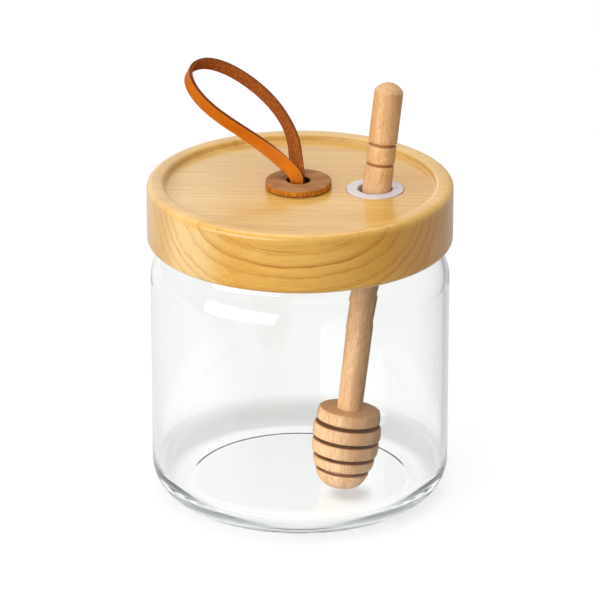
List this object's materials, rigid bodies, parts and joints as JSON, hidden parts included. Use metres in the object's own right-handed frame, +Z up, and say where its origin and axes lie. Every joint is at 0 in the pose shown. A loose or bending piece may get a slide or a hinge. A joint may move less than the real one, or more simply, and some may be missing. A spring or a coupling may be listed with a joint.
{
  "type": "honey jar with dipper",
  "caption": "Empty clear glass honey jar with a turned pine lid, a leather strap loop as its handle, and a beech dipper standing in the jar through a soft ring in the lid.",
  "frame": {"origin": "middle of the jar's foot, on the surface that the jar stands on", "axes": "+Z up along the jar's axis, -Y towards the viewer of the picture, +X to the viewer's right, where the dipper stands"},
  "size_m": [0.105, 0.105, 0.1478],
  "materials": {
    "clear_glass": "clear, polished, with a thick base",
    "pine": "turned and lightly oiled, with close growth rings",
    "soft_ring": "smooth satin silicone, cool off-white",
    "beech": "bare turned beech, fine grain along its length",
    "tan_leather": "smooth tan grain side, fibrous brown flesh side, raw dark edges",
    "leather_washer": "matt brown flesh side up, with a raw cut orange-tan edge"
  },
  "bodies": {
    "root": {"glass_jar": "clear_glass", "lid": "pine", "spoon_grommet": "soft_ring", "honey_dipper": "beech", "strap_loop": "tan_leather", "strap_washer": "leather_washer"}
  },
  "joints": []
}
